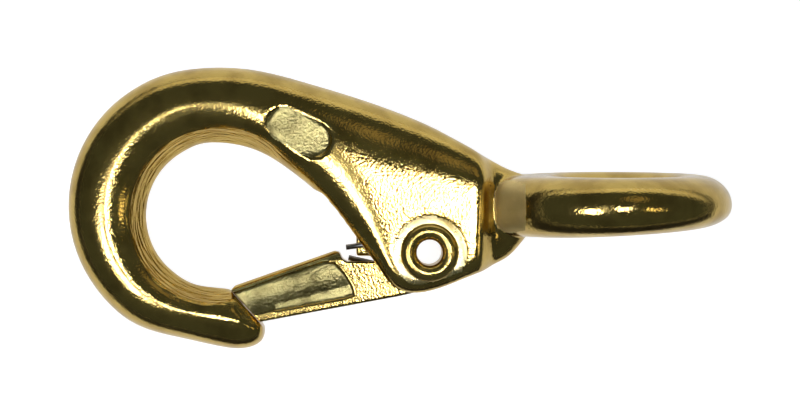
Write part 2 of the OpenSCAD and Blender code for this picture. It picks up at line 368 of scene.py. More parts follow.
class MaterialNodes(NodeTree):
    """A material's node tree, built up from its shader."""

    def __init__(self, name: str) -> None:
        """Start a material with nothing but its shader.

        Args:
            name: The material's name.
        """
        self.material = bpy.data.materials.new(name)
        self.material.use_nodes = True
        super().__init__(self.material.node_tree)
        self.shader = self.tree.nodes["Principled BSDF"]
        laid_down = rest_pose().inverted()
        self.place = self.add(
            "Mapping",
            Vector=self.add("TexCoord").outputs["Object"],
            Location=laid_down.to_translation(),
            Rotation=laid_down.to_euler(),
            Scale=laid_down.to_scale(),
        ).outputs[0]

    def noise(self, wavelength: float, detail: float) -> Socket:
        """Return noise with this wavelength in millimetres, from 0 to 1."""
        node = self.add("TexNoise", Vector=self.place, Scale=1 / wavelength, Detail=detail)
        return node.outputs[0]

    def bump(self, height: Socket, depth: float, below: Socket | None = None) -> Socket:
        """Bump the surface by a pattern.

        Args:
            height: The pattern, from 0 to 1.
            depth: How deep the pattern goes, in millimetres.
            below: The normal that it lies on, or None for the bare surface.

        Returns:
            The bumped normal.
        """
        node = self.add("Bump", Height=height, Distance=depth * MM)
        if below is not None:
            self.tree.links.new(below, node.inputs["Normal"])
        return node.outputs[0]


@dataclass(frozen=True)
class BrassFinish:
    """Brass as it leaves the mould, the tumbling barrel or the press.

    Lengths are in millimetres, and a range is the part of a pattern's values over
    which it comes in.
    """

    name: str
    colour: Colour = (0.66, 0.47, 0.13)
    tarnish: Colour = (0.50, 0.34, 0.09)
    tarnish_patch: float = 3.5
    tarnish_range: Span = (0.42, 0.66)
    # painted shade: the colour, reach and range with which crevices are darkened
    painted_shade_colour: Colour = (0.07, 0.055, 0.018)
    painted_shade_reach: float = 1.6
    painted_shade_range: Span = (0.25, 0.55)
    roughness: float = 0.11
    roughness_spread: float = 0.04
    rough_patch: float = 1.1
    rough_range: Span = (0.35, 0.7)
    dulling: float = 0.03
    dull_patch: float = 9.0
    dull_range: Span = (0.4, 0.65)
    wave: float = 8.0
    wave_depth: float = 0.05
    peel: float = 0.6
    peel_depth: float = 0.005
    grain: float = 0.3
    grain_depth: float = 0.026
    streak_scale: tuple[float, float, float] = (0.3, 0.3, 3)
    streak_depth: float = 0.0

    def material(self) -> bpy.types.Material:
        """Build the material.

        Returns:
            Metal with waves, dimples, fine grain and tarnish, and with shade painted into its
            crevices.
        """
        if self.name in bpy.data.materials:
            return bpy.data.materials[self.name]
        nodes = MaterialNodes(self.name)
        patches = nodes.ramp(nodes.noise(self.tarnish_patch, detail=4), *self.tarnish_range, 0, 1)
        tint = nodes.mix(patches, self.colour, self.tarnish)
        # painted shade: ambient occlusion darkens the brass in its crevices, where shade falls
        occlusion = nodes.add("AmbientOcclusion", Distance=self.painted_shade_reach * MM)
        occlusion.only_local = True
        shade_mask = nodes.ramp(occlusion.outputs["AO"], *self.painted_shade_range, 1, 0)
        tint = nodes.mix(shade_mask, tint, self.painted_shade_colour)
        roughest = self.roughness + self.roughness_spread
        rough = nodes.noise(self.rough_patch, detail=3)
        rough = nodes.ramp(rough, *self.rough_range, self.roughness, roughest)
        dull = nodes.noise(self.dull_patch, detail=0)
        dull = nodes.ramp(dull, *self.dull_range, 0, self.dulling)
        normal = nodes.bump(nodes.noise(self.wave, detail=0), self.wave_depth)
        normal = nodes.bump(nodes.noise(self.peel, detail=0), self.peel_depth, normal)
        normal = nodes.bump(nodes.noise(self.grain, detail=1), self.grain_depth, normal)
        if self.streak_depth:
            squashed = nodes.add("Mapping", Vector=nodes.place, Scale=self.streak_scale).outputs[0]
            streaks = nodes.add("TexNoise", Vector=squashed, Scale=1.0, Detail=1.0).outputs[0]
            normal = nodes.bump(streaks, self.streak_depth, normal)
        nodes.fill(
            nodes.shader,
            Metallic=1.0,
            Base_Color=tint,
            Roughness=nodes.plus(rough, dull),
            Normal=normal,
        )
        return nodes.material


TRIMMED = BrassFinish("trimmed_brass", roughness=0.2, streak_depth=0.12)
# brass of the ring pressed round the rivet: smoother, with its colour painted paler as a painted
# highlight
PRESSED_PAINTED_PALE = BrassFinish(
    "pressed_brass_painted_pale", colour=(0.8, 0.66, 0.3), painted_shade_reach=0.4, roughness=0.25, wave_depth=0
)
# stippled brass for the pad's floor and the gate's hollows: the grain is real, and the darker
# colour is painted shade in these recesses
STIPPLED_PAINTED_DARK = BrassFinish(
    "stippled_brass_painted_shade",
    colour=(0.46, 0.38, 0.14),
    tarnish=(0.17, 0.135, 0.045),
    roughness=0.28,
    grain=0.32,
    grain_depth=0.08,
)
# satin brass for the eye's wall beside the neck: rougher, with its colour painted paler as a
# painted reflection
PALE_PAINTED_SATIN = BrassFinish(
    "satin_brass_painted_pale",
    colour=(0.95, 0.76, 0.34),
    tarnish=(0.85, 0.66, 0.28),
    painted_shade_reach=0.4,
    roughness=0.6,
    wave_depth=0,
)


@dataclass(frozen=True)
class WireFinish:
    """Drawn spring steel, with lengths in millimetres."""

    name: str
    colour: Colour = (0.42, 0.41, 0.39)
    stain: Colour = (0.20, 0.18, 0.15)
    stain_patch: float = 0.9
    stain_range: Span = (0.4, 0.65)
    roughness: float = 0.32
    drawing: float = 0.12
    drawing_depth: float = 0.003

    def material(self) -> bpy.types.Material:
        """Build the material.

        Returns:
            Dull metal with stains and drawing marks.
        """
        nodes = MaterialNodes(self.name)
        stains = nodes.ramp(nodes.noise(self.stain_patch, detail=3), *self.stain_range, 0, 1)
        nodes.fill(
            nodes.shader,
            Metallic=1.0,
            Roughness=self.roughness,
            Base_Color=nodes.mix(stains, self.colour, self.stain),
            Normal=nodes.bump(nodes.noise(self.drawing, detail=2), self.drawing_depth),
        )
        return nodes.material


# ------------------------------------------------------------------ the hook


@dataclass
class Section:
    """One section of the bar, square to the hook's plane.

    Attributes:
        outer: Middle of its back.
        inner: Middle of its throat side.
        half_depth: Half its size along the rivet.
        roundness: 0 for a box with rounded corners, 1 for an ellipse.
        back_r: How far a corner reaches down from the back.
        edge_r: How far a corner reaches up from the throat side.
        back_h: How far a corner on the back reaches in along the rivet.
    """

    outer: Point
    inner: Point
    half_depth: float
    roundness: float = 1.0
    back_r: float = 9.0
    edge_r: float = 6.0
    back_h: float = 5.0

    def numbers(self) -> list[float]:
        """Return the section's sizes as one row."""
        sizes = [self.half_depth, self.roundness, self.back_r, self.edge_r, self.back_h]
        return [*self.outer, *self.inner, *sizes]


@dataclass
class HookCasting:
    """The hook's one casting: nose, bend, slotted shank and eye.

    Lengths are in millimetres and slopes in degrees. A facing is how squarely a
    face has to look along its zone's direction, from 0 to 1.
    """

    # the bar
    bend_c: Point = (-29.1, 6.0)
    bend_r: float = 18.0
    bend_turns: tuple[int, int, int] = (240, 95, -18)
    throat_c: Point = (-27.4, 4.8)
    throat_r: float = 9.5
    bar_h: float = 4.5
    nose_h: float = 4.0
    nose_reach: float = 7.7
    shank_h: float = 5.4
    edge_h: float = 2.2
    # the eye and its neck
    eye_c: Point = (24.0, 6.1)
    eye_bore: float = 8.0
    eye_r: float = 15.4
    eye_half_t: float = 3.95
    eye_thinning: float = 1.2
    eye_taper: float = 0.12
    eye_square: float = 2.2
    neck_square: float = 1.6
    neck_focus: int = 4
    eye_trim: float = 0.6
    flare_from: float = 38.0
    eye_twist: float = 3.0
    # the satin wall beside the neck, its brass painted paler as a painted reflection
    wall_start: float = 8.0
    wall_end: float = 12.1
    wall_depth: float = 1.0
    wall_low: float = 2.6
    wall_facing: float = 0.3
    # the slot between the cheeks, and the far cheek's square corner
    slot_half_w: float = 3.2
    slot_r: float = 4.85
    slot_roof: tuple[Point, Point] = ((-3.79, 3.03), (-15.62, 8.42))
    slot_floor: float = -9.0
    corner: tuple[Point, ...] = ((-9.6, 2.4), (-9.6, -0.6), (-6.4, -0.6), (-6.0, 2.4))
    corner_t: float = 1.8
    # the gate's seat in the nose
    seat_p: Point = (-26.2, -4.6)
    seat_slope: float = 47.0
    seat_box: tuple[float, float, float] = (-3.0, 10.0, 8.0)
    seat_bevel: float = 1.3
    seat_bevel_slope: float = 48.0
    # the oval pad
    pad_p: Point = (-16.8, 15.5)
    pad_slope: float = -28.0
    pad_tilt: float = 0.3
    pad_length: float = 8.9
    pad_w: float = 4.8
    pad_floor: float = 4.45
    pad_rim: float = 0.15
    pad_facing: float = 0.8
    # the throat's trimmed wall
    trim_low: float = 0.6
    trim_draft: float = 0.65
    trim_depth: float = 2.4
    trim_facing: float = 0.4
    # the rivet's hole and the ring pressed round it
    hole_r: float = 2.45
    spot_r: float = 4.7
    spot_depth: float = 0.1
    spot_rim: float = 0.4
    spot_facing: float = 0.9
    # the mesh
    fullest: float = 0.97
    round_steps: int = 5
    voxel: float = 0.27
    softening: int = 6
    clear: float = 20.0
    obj: bpy.types.Object = field(init=False)

    def sections(self) -> list[Section]:
        """List the bar's sections.

        Returns:
            The sections from the nose, round the bend and along the shank to the eye.
        """
        low = (self.bend_c[0], self.bend_c[1] - self.bend_r)
        throat = (self.throat_c[0], self.throat_c[1] - self.throat_r)
        neck = (self.eye_c[0] - self.eye_r, self.eye_c[1])
        reach = self.nose_reach

        def at(base: Point, x: float, y: float) -> Point:
            """Return a point off a base."""
            return (base[0] + x, base[1] + y)

        nose = [
            Section(at(low, reach, 1.5), at(low, reach + 0.05, 2.3), 0.5),
            Section(at(low, reach - 0.3, 0.6), at(low, reach - 0.05, 3.9), self.nose_h - 1.6),
            Section(at(low, reach - 1.3, -0.2), at(low, reach - 0.5, 5.6), self.nose_h - 0.4),
            Section(at(low, reach - 3.6, -0.65), at(throat, 3.6, -0.5), self.nose_h),
            Section(at(low, 0.6, -0.1), at(throat, 0.5, 0), self.nose_h + 0.2),
            Section(
                at(low, -3.6, 0.85),
                polar(self.throat_c, self.throat_r, 254),
                self.bar_h - 0.15,
            ),
        ]
        bend = [
            Section(
                polar(self.bend_c, self.bend_r, a),
                polar(self.throat_c, self.throat_r, a),
                self.bar_h,
            )
            for a in range(*self.bend_turns)
        ]
        h = self.shank_h
        shank = [
            Section((-23.6, 23.9), (-23.2, 13.5), self.bar_h + 0.1, 0.9),
            Section((-16.4, 22.2), (-18.4, 10.8), self.bar_h + 0.5, 0.55, 8.0, 4.0),
            Section((-9.4, 20.1), (-13.4, 6.6), h - 0.1, 0.2, 9.0, 6.0),
            Section((-4.6, 18.4), (-9.7, 2.0), h, 0, 8.5, 6.0),
            Section((-1.6, 17.2), (-7.0, -1.5), h, 0, 7.6, 3.0, 4.7),
            Section((1.0, 16.0), (-4.7, -4.5), h, 0, 6.8, 2.2, 4.2),
            Section((3.4, 14.7), (-1.5, -5.3), h, 0, 6.2, 2.2, 3.7),
            Section((5.4, 13.6), (2.3, -4.35), h, 0, 5.4, 2.2, 3.4),
            Section(at(neck, -2.1, 6.8), at(neck, -2.8, -9.0), h, 0, 4.6, 2.2, 3.4),
            Section(at(neck, -1.4, 6.4), at(neck, -1.9, -8.7), h - 0.4, 0.05, 4.3, 2.2),
            Section(at(neck, -0.7, 6.0), at(neck, -0.9, -8.2), h - 1.7, 0.1, 4.4, 2.2),
            Section(at(neck, -0.1, 5.7), at(neck, -0.1, -7.7), h - 2.5, 0.2, 4.5, 2.2),
            Section(at(neck, 1.0, 5.1), at(neck, 1.6, -6.8), h - 2.7, 0.3, 4.5, 2.2),
            Section(at(neck, 2.6, 4.4), at(neck, 3.1, -5.3), h - 3.0, 0.6, 4.5, 2.2),
            Section(at(neck, 4.0, 3.8), at(neck, 4.2, -3.8), h - 3.6),
            Section(at(neck, 4.6, 2.4), at(neck, 4.6, -2.4), h - 4.6),
        ]
        return nose + bend + shank

    def cage(self) -> list[list[float]]:
        """Push the sections outwards until the smooth bar runs through them.

        Returns:
            One row of sizes for each section of the cage.
        """
        wanted = [section.numbers() for section in self.sections()]
        rows = [list(row) for row in wanted]
        for _ in range(CAGE_PASSES):
            before = [list(row) for row in rows]
            for i in range(1, len(rows) - 1):
                for k in range(5):  # the two points and the depth
                    smooth = (before[i - 1][k] + 4 * before[i][k] + before[i + 1][k]) / 6
                    rows[i][k] += wanted[i][k] - smooth
        return rows

    def ring(self, row: list[float]) -> list[Vector]:
        """Lay out one section's corners.

        Args:
            row: The section's sizes from the cage.

        Returns:
            Points round a rectangle with elliptical corners.
        """
        outer, inner = Vector(row[0:2]), Vector(row[2:4])
        half_d, roundness, back_r, edge_r, back_h = row[4:]
        roundness = min(1.0, max(0.0, roundness)) * self.fullest
        half_w = (outer - inner).length / 2
        across = (outer - inner).normalized()
        middle = (outer + inner) / 2
        points = []
        for quarter in range(4):
            side_w = 1 if quarter in (0, 3) else -1
            side_d = 1 if quarter < 2 else -1
            edge_w, edge_d = (back_r, back_h) if side_w > 0 else (edge_r, self.edge_h)
            r_w = min(edge_w, half_w) * (1 - roundness) + half_w * roundness
            r_d = min(edge_d, half_d) * (1 - roundness) + half_d * roundness
            for step in range(self.round_steps + 1):
                turn = math.radians(90 * quarter + 90 * step / self.round_steps)
                w = side_w * (half_w - r_w) + r_w * math.cos(turn)
                d = side_d * (half_d - r_d) + r_d * math.sin(turn)
                points.append(Vector((*(middle + across * w), d)))
        return points

    def bar(self) -> bpy.types.Object:
        """Draw the bar out from the nose, ring by ring, and smooth it.

        Returns:
            The bar, as a closed mesh.
        """
        rows = self.cage()
        count = 4 * (self.round_steps + 1)
        bpy.ops.object.select_all(action="DESELECT")
        bpy.ops.mesh.primitive_circle_add(vertices=count, fill_type="NGON")
        obj = bpy.context.object
        bpy.ops.object.mode_set(mode="EDIT")
        bpy.ops.mesh.select_all(action="SELECT")
        mesh = bmesh.from_edit_mesh(obj.data)
        order = mesh.verts.layers.int.new("order")
        for number, vert in enumerate(mesh.verts):
            vert[order] = number
        for i, row in enumerate(rows):
            if i:
                bpy.ops.mesh.extrude_region_move()
                mesh = bmesh.from_edit_mesh(obj.data)
                order = mesh.verts.layers.int["order"]
            points = self.ring(row)
            for vert in mesh.verts:
                if vert.select:
                    vert.co = points[vert[order]]
            bmesh.update_edit_mesh(obj.data)
        bpy.ops.mesh.select_all(action="SELECT")
        bpy.ops.mesh.normals_make_consistent()
        bpy.ops.object.mode_set(mode="OBJECT")
        subdivide(obj, 2)
        return obj

    def flare(self, turn: float) -> float:
        """Work out how far the eye's rim runs straight to the neck.

        Args:
            turn: The angle round the ring in radians, with the neck at half a turn.

        Returns:
            How many times further out than the round rim it is there.
        """
        off_neck = math.pi - abs(turn)
        start = math.radians(self.flare_from)
        if off_neck >= start:
            return 1.0
        straight = 1 / math.cos(start - off_neck)
        stem = 1 / math.cos(off_neck)
        return min(straight, stem)

    def eye(self) -> bpy.types.Object:
        """Form the eye's ring, fuller and squarer beside the shank, and bore it.

        Returns:
            The ring, stood square to the hook's plane.
        """
        middle = self.eye_r - (self.eye_r - self.eye_bore) / 2 - self.eye_trim / 2
        half_w = self.eye_r - middle
        bpy.ops.object.select_all(action="DESELECT")
        bpy.ops.mesh.primitive_torus_add(
            major_segments=120, minor_segments=48, major_radius=middle, minor_radius=half_w
        )
        obj = bpy.context.object
        for vert in obj.data.vertices:
            turn = math.atan2(vert.co.y, vert.co.x)
            outwards = (math.hypot(vert.co.x, vert.co.y) - middle) / half_w
            rise = vert.co.z / half_w
            thinning = self.eye_thinning * (1 + math.cos(turn)) / 2 if rise > 0 else 0
            half_t = self.eye_half_t - thinning
            beside = max(0.0, -math.cos(turn)) ** self.neck_focus
            power = 2 / (self.eye_square + self.neck_square * beside)
            reach = middle + half_w * math.copysign(abs(outwards) ** power, outwards)
            if outwards > 0:
                reach *= 1 + (self.flare(turn) - 1) * outwards
            height = half_t * math.copysign(abs(rise) ** power, rise)
            height *= 1 - self.eye_taper * outwards
            vert.co = (reach * math.cos(turn), reach * math.sin(turn), height)
        cut(obj, rod(self.eye_bore, -self.clear, self.clear))
        stand = Matrix.Rotation(math.radians(90 + self.eye_twist), 4, "X")
        return placed(obj, Matrix.Translation((*self.eye_c, 0)) @ stand)

    def trim_cones(self) -> list[bpy.types.Object]:
        """Make the tools that trim the throat's wall to two slanted bands.

        Returns:
            A cone for each side.
        """
        high = self.bar_h + 1
        reach = (high - self.trim_low) * self.trim_draft
        tools = []
        for side in (-1, 1):
            bpy.ops.object.select_all(action="DESELECT")
            bpy.ops.mesh.primitive_cone_add(
                vertices=180,
                radius1=self.throat_r,
                radius2=self.throat_r + reach,
                depth=high - self.trim_low,
                location=(0, 0, (high + self.trim_low) / 2),
            )
            cone = bake_place(bpy.context.object)
            flip = Matrix.Rotation(math.pi if side < 0 else 0, 4, "X")
            tools.append(placed(cone, Matrix.Translation((*self.throat_c, 0)) @ flip))
        return tools

    def slot(self) -> bpy.types.Object:
        """Make the tool that cuts the space between the cheeks.

        Returns:
            The slot's shape, with its round end about the rivet.
        """
        near, far = self.slot_roof
        arc = [polar((0, 0), self.slot_r, a) for a in range(0, 91, 6)]
        outline = [(self.slot_r, self.slot_floor), *arc, near, far, (far[0], self.slot_floor)]
        return prism(outline, -self.slot_half_w, self.slot_half_w)

    def seat_tools(self) -> list[bpy.types.Object]:
        """Make the tools that cut the gate's seat and the bevels beside it.

        Returns:
            One block for the seat and one for each bevel.
        """
        turn = Matrix.Rotation(math.radians(-self.seat_slope), 4, "Z")
        place = Matrix.Translation((*self.seat_p, 0)) @ turn
        back, front, high = self.seat_box
        box = [(back, 0), (front, 0), (front, high), (back, high)]
        tools = [placed(prism(box, -self.clear / 2, self.clear / 2), place)]
        for side in (-1, 1):
            lean = Matrix.Rotation(math.radians(side * self.seat_bevel_slope), 4, "X")
            edge = Matrix.Translation((0, 0, side * (self.nose_h - self.seat_bevel)))
            tools.append(placed(prism(box, -self.clear / 2, self.clear / 2), place @ edge @ lean))
        return tools

    def pad(self) -> bpy.types.Object:
        """Make the tool that sinks the oval pad into the shank's face.

        Returns:
            The oval's shape, stood on the pad's floor.
        """
        end = (self.pad_length - self.pad_w) / 2
        outline = [polar((end, 0), self.pad_w / 2, a) for a in range(-90, 91, 10)]
        outline += [polar((-end, 0), self.pad_w / 2, a) for a in range(90, 271, 10)]
        turn = Matrix.Rotation(math.radians(self.pad_slope), 4, "Z")
        lean = Matrix.Rotation(math.radians(-self.pad_tilt), 4, "Y")
        place = Matrix.Translation((*self.pad_p, self.pad_floor)) @ turn @ lean
        return placed(prism(outline, 0, self.clear), place)

    def far_corner(self) -> bpy.types.Object:
        """Make the square corner of the far cheek."""
        inside = -self.slot_half_w
        return prism(list(self.corner), inside - self.corner_t, inside)

    def build(self) -> None:
        """Cast the hook, cut it and soften it as the tumbling barrel does."""
        bar = self.bar()
        cut(bar, self.slot())
        for tool in self.seat_tools() + self.trim_cones():
            cut(bar, tool)
        cut(bar, self.pad())
        cut(bar, rod(self.hole_r, -self.clear, self.clear))
        face = self.shank_h - self.spot_depth
        cut(bar, rod(self.spot_r, face, self.clear))
        cut(bar, rod(self.spot_r, -self.clear, -face))
        self.obj = join(bar, self.eye(), self.far_corner())
        self.obj.name = "hook_casting"
        fuse(self.obj, self.voxel * (1), self.softening)

    def in_spot(self, middle: Vector, normal: Vector) -> bool:
        """Say whether a face is in a pressed ring round the rivet.

        Args:
            middle: The face's middle.
            normal: The way that it faces.

        Returns:
            Whether it is there.
        """
        near = math.hypot(middle.x, middle.y) < self.spot_r
        high = abs(middle.z) > self.shank_h - self.spot_rim
        return near and abs(normal.z) > self.spot_facing and high

    def in_throat(self, middle: Vector, normal: Vector) -> bool:
        """Say whether a face is in the throat's trimmed wall.

        Args:
            middle: The face's middle.
            normal: The way that it faces.

        Returns:
            Whether it is there.
        """
        out = middle.xy - Vector(self.throat_c)
        near = out.length < self.throat_r + self.trim_depth and abs(middle.z) < self.bar_h
        return near and normal.xy.dot(out.normalized()) < -self.trim_facing

    def in_pad(self, middle: Vector, normal: Vector) -> bool:
        """Say whether a face is in the floor of the oval pad.

        Args:
            middle: The face's middle.
            normal: The way that it faces.

        Returns:
            Whether it is there.
        """
        turn = Matrix.Rotation(math.radians(-self.pad_slope), 2)
        across = turn @ (middle.xy - Vector(self.pad_p))
        past_end = max(0.0, abs(across.x) - (self.pad_length - self.pad_w) / 2)
        inside = math.hypot(past_end, across.y) < self.pad_w / 2 - self.pad_rim
        return inside and normal.z > self.pad_facing and middle.z > 0

    def in_neck(self, middle: Vector, normal: Vector) -> bool:
        """Say whether a face is in the eye's wall beside the shank.

        Args:
            middle: The face's middle.
            normal: The way that it faces.

        Returns:
            Whether it is there.
        """
        off_eye = math.hypot(middle.x - self.eye_c[0], middle.z)
        rim = off_eye > self.eye_r - self.wall_depth and abs(middle.z) > self.wall_low
        beside = self.wall_start < middle.x < self.wall_end
        return rim and beside and normal.x < -self.wall_facing

    def dress(self, finish: BrassFinish) -> None:
        """Lay the casting down and give it its finishes.

        Args:
            finish: The finish of all but the zones.
        """
        # painted reflection: the eye's wall beside the neck is painted paler
        zone(self.obj, PALE_PAINTED_SATIN, self.in_neck)
        # painted highlight: the pressed ring round the rivet is painted paler
        zone(self.obj, PRESSED_PAINTED_PALE, self.in_spot)
        # painted shade: the oval pad's floor is painted darker
        zone(self.obj, STIPPLED_PAINTED_DARK, self.in_pad)
        zone(self.obj, TRIMMED, self.in_throat)
        finish_piece(self.obj, finish.material(), Body.HOOK, "hook_body")


@dataclass
class Gate:
    """The cast gate, softened like the hook."""

    half_w: float = 3.0
    hollow_depth: float = 1.0
    hollow_rim: float = 0.1
    hollow_facing: float = 0.75
    voxel: float = 0.14
    softening: int = 4
    obj: bpy.types.Object = field(init=False)

    def build(self) -> None:
        """Cast the gate and soften it."""
        self.obj = node_copy("gate")
        self.obj.name = "gate_casting"
        fuse(self.obj, self.voxel * (1), self.softening)

    def in_hollow(self, middle: Vector, normal: Vector) -> bool:
        """Say whether a face is in the floor of a side hollow."""
        sunk = self.hollow_rim < self.half_w - abs(middle.z) < self.hollow_depth
        return sunk and abs(normal.z) > self.hollow_facing

    def dress(self, finish: BrassFinish) -> None:
        """Lay the gate down and give it its finish."""
        # painted shade: the floors of the gate's hollows are painted darker
        zone(self.obj, STIPPLED_PAINTED_DARK, self.in_hollow)
        finish_piece(self.obj, finish.material(), Body.GATE, "gate")


@dataclass
class Rivet:
    """The tubular rivet with its two rolled heads."""

    bore_r: float = 1.65
    shank_r: float = 2.4
    head_r: float = 3.75
    seat: float = 5.25
    steps: int = 96
    crease: float = 40.0
    obj: bpy.types.Object = field(init=False)

    def half_section(self) -> list[Point]:
        """Trace the section of the tube and its rolled heads.

        Returns:
            Its corners in order, each as a radius and a height.
        """
        roll = (self.head_r - self.bore_r) / 2
        middle = self.bore_r + roll
        top = [polar((middle, self.seat), roll, a) for a in range(180, -1, -12)]
        bottom = [(r, -z) for r, z in reversed(top)]
        return [*top, (self.shank_r, self.seat), (self.shank_r, -self.seat), *bottom]

    def build(self) -> None:
        """Spin the section round the rivet's axis."""
        section = self.half_section()
        bpy.ops.object.select_all(action="DESELECT")
        bpy.ops.mesh.primitive_circle_add(vertices=len(section), fill_type="NOTHING")
        obj = bpy.context.object
        for vert, (radius, height) in zip(obj.data.vertices, section):
            vert.co = (radius, 0, height)
        bpy.ops.object.mode_set(mode="EDIT")
        bpy.ops.mesh.select_all(action="SELECT")
        bpy.ops.mesh.spin(
            steps=self.steps, angle=math.tau, center=(0, 0, 0), axis=(0, 0, 1), dupli=False
        )
        bpy.ops.mesh.select_all(action="SELECT")
        bpy.ops.mesh.remove_doubles(threshold=0.001)
        bpy.ops.mesh.normals_make_consistent()
        bpy.ops.object.mode_set(mode="OBJECT")
        self.obj = obj
        self.obj.name = "rivet_rolled"

    def dress(self, finish: BrassFinish) -> None:
        """Lay the rivet down and give it its finish.

        Args:
            finish: The rivet's finish.
        """
        finish_piece(self.obj, finish.material(), Body.HOOK, "rivet")
        select_only(self.obj)
        bpy.ops.object.shade_smooth_by_angle(angle=math.radians(self.crease))


@dataclass
class TorsionSpring:
    """The wire spring, coiled round the rivet, with one leg on each casting."""

    wire_r: float = 0.35
    coil_r: float = 3.1
    turns: int = 2
    pitch: float = 0.76
    hook_leg_slope: float = 15.2
    hook_leg: float = 7.6
    hook_tip: float = 2.7
    hook_tip_slope: float = 8.0
    gate_leg_slope: float = 13.0
    gate_leg: float = 10.1
    coil_steps: int = 60
    top: float = field(init=False)
    obj: bpy.types.Object = field(init=False)

    def leg(self, slope: float, along: float) -> Point:
        """Find a point along a leg that leaves the top of the coil.

        Args:
            slope: How far the leg slopes down, in degrees.
            along: How far along the leg the point is.

        Returns:
            The point.
        """
        turn = math.radians(slope)
        return (
            -self.coil_r * math.sin(turn) - along * math.cos(turn),
            self.coil_r * math.cos(turn) - along * math.sin(turn),
        )

    def route(self) -> tuple[list[Vector], float]:
        """Trace the wire's middle.

        Returns:
            The points from the hook's leg to the gate's leg, and the height of
            the hook's leg above the middle of the coil.
        """
        sweep = 360 * self.turns + 180 + self.hook_leg_slope + self.gate_leg_slope
        top = self.pitch * sweep / 360 / 2
        bend = self.leg(self.hook_leg_slope, self.hook_leg)
        turn = math.radians(self.hook_tip_slope)
        tip = (bend[0] - self.hook_tip * math.cos(turn), bend[1] - self.hook_tip * math.sin(turn))
        points = [Vector((*tip, top)), Vector((*bend, top))]
        for i in range(self.coil_steps + 1):
            turned = sweep * i / self.coil_steps
            x, y = polar((0, 0), self.coil_r, 90 + self.hook_leg_slope - turned)
            points.append(Vector((x, y, top - 2 * top * i / self.coil_steps)))
        x, y = self.leg(self.gate_leg_slope, self.gate_leg)
        points.append(Vector((x, -y, -top)))
        return points, top

    def build(self) -> None:
        """Draw the wire along its route and make it a closed mesh."""
        points, self.top = self.route()
        curve = bpy.data.curves.new("spring_wire", "CURVE")
        curve.dimensions = "3D"
        line = curve.splines.new("POLY")
        line.points.add(len(points) - 1)
        for point, place in zip(line.points, points):
            point.co = (*place, 1)
        curve.bevel_depth = self.wire_r
        curve.bevel_resolution = 3
        curve.use_fill_caps = True
        self.obj = bpy.data.objects.new("spring_wire", curve)
        bpy.context.scene.collection.objects.link(self.obj)
        select_only(self.obj)
        bpy.ops.object.convert(target="MESH")
        self.obj = bpy.context.object
        edit_all("remove_doubles", "normals_make_consistent")

    def dress(self, finish: WireFinish) -> None:
        """Lay the spring down, give it its finish and bake its place into its mesh.

        Args:
            finish: The wire's finish.
        """
        finish_piece(self.obj, finish.material(), None, "spring")
        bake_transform(self.obj)


def zone(
    obj: bpy.types.Object, finish: BrassFinish, inside: Callable[[Vector, Vector], bool]
) -> None:
    """Give the faces of one zone a finish of their own.

    Args:
        obj: The piece, with its mesh still about the rivet.
        finish: The finish of the zone.
        inside: Says whether a face with this middle and normal is in the zone.
    """
    if not obj.data.materials:
        obj.data.materials.append(None)  # the place of the piece's main finish
    obj.data.materials.append(finish.material())
    number = len(obj.data.materials) - 1
    for face in obj.data.polygons:
        if inside(face.center, face.normal):
            face.material_index = number


def finish_piece(
    obj: bpy.types.Object, material: bpy.types.Material, body: Body | None, node: str
) -> None:
    """Lay a piece down at rest and dress it.

    Args:
        obj: The piece, in millimetres about the rivet.
        material: What it is made of.
        body: The body that it rides on, or None where it bends between two.
        node: The frame's node that it stands for.
    """
    placed(obj, rest_pose())
    if obj.data.materials:
        obj.data.materials[0] = material
    else:
        obj.data.materials.append(material)
    select_only(obj)
    bpy.ops.object.shade_smooth()
    if body is not None:
        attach(obj, body.value)
    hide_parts(node)
    log.info("%s stands for %s with %d faces", obj.name, node, len(obj.data.polygons))


# ---------------------------------------------------------------- the studio


@dataclass(frozen=True)
class Lamp:
    """A lamp that faces the hook.

    Attributes:
        name: Its name.
        right: Degrees to the right of the camera's line.
        up: Degrees above the camera's line.
        size: Its width in millimetres.
        power: Its power in watts.
        colour: Its colour.
        height: Its height as a share of its width.
        distance: Millimetres from the hook.
        spread: How wide its beam is, in degrees.
    """

    name: str
    right: float
    up: float
    size: float
    power: float
    colour: Colour = (0.95, 1, 1.2)
    height: float = 1.0
    distance: float = 420.0
    spread: float = 180.0


